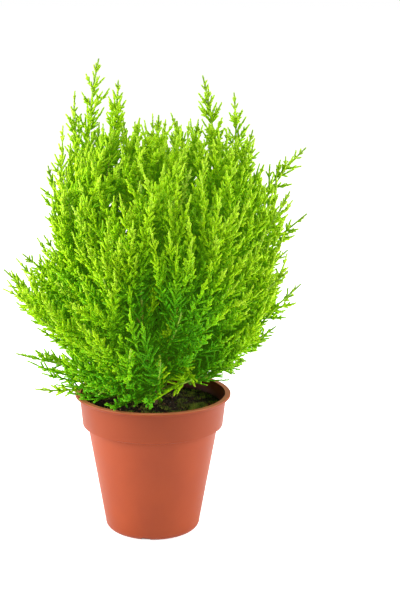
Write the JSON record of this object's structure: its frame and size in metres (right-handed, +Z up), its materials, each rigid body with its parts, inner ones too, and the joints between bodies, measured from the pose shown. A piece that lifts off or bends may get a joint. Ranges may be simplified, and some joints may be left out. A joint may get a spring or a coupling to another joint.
{
  "type": "potted lemon cypress",
  "caption": "Small lemon cypress with soft yellow-green feathery shoots, growing in soil in a round terracotta-coloured plastic nursery pot with a flanged collar.",
  "frame": {"origin": "middle of the underside of the pot's foot, on the surface that the pot stands on", "axes": "+Z up along the pot's axis, -Y towards the front, where the lower front shoots hang over the rim, +X to the viewer's right"},
  "size_m": [0.2289, 0.1985, 0.3621],
  "materials": {
    "pot_plastic": "satin",
    "soil": "matte",
    "moss": "matte",
    "bark": "matte",
    "foliage_leader": "satin",
    "foliage_crown": "satin",
    "foliage_right": "satin",
    "foliage_left": "satin",
    "foliage_front": "satin",
    "foliage_back": "satin"
  },
  "bodies": {
    "root": {"pot": "pot_plastic", "root_ball": "soil", "moss_patch_right": "moss", "moss_patch_front": "moss", "moss_patch_back": "moss", "trunk": "bark", "leader_tall": "foliage_leader", "leader_right": "foliage_leader", "leader_right_far": "foliage_leader", "leader_left": "foliage_leader", "leader_left_back": "foliage_leader", "leader_back": "foliage_leader", "leader_front": "foliage_leader", "leader_centre": "foliage_leader", "leader_right_side": "foliage_leader", "crown_left": "foliage_crown", "crown_back_left": "foliage_crown", "crown_middle": "foliage_crown", "crown_back_right": "foliage_crown", "crown_right": "foliage_crown", "crown_right_back": "foliage_crown", "crown_back": "foliage_crown", "right_upper_front": "foliage_right", "right_upper": "foliage_right", "right_middle_back": "foliage_right", "right_middle_front": "foliage_right", "right_middle": "foliage_right", "right_lower_front": "foliage_right", "right_lower": "foliage_right", "right_skirt": "foliage_right", "left_upper_front": "foliage_left", "left_upper": "foliage_left", "left_middle_front": "foliage_left", "left_middle": "foliage_left", "left_far": "foliage_left", "left_lower_back": "foliage_left", "left_lower_front": "foliage_left", "left_lower": "foliage_left", "left_skirt_back": "foliage_left", "left_skirt": "foliage_left", "front_upper_left": "foliage_front", "front_upper_right": "foliage_front", "front_right_upper": "foliage_front", "front_right": "foliage_front", "front_centre": "foliage_front", "front_left_upper": "foliage_front", "front_left": "foliage_front", "front_lower_left": "foliage_front", "front_lower": "foliage_front", "front_skirt_right": "foliage_front", "front_skirt": "foliage_front", "front_skirt_left": "foliage_front", "back_upper_left": "foliage_back", "back_upper_right": "foliage_back", "back_middle": "foliage_back", "back_left": "foliage_back", "back_right": "foliage_back", "back_lower_left": "foliage_back", "back_lower": "foliage_back", "back_lower_right": "foliage_back"}
  },
  "joints": []
}
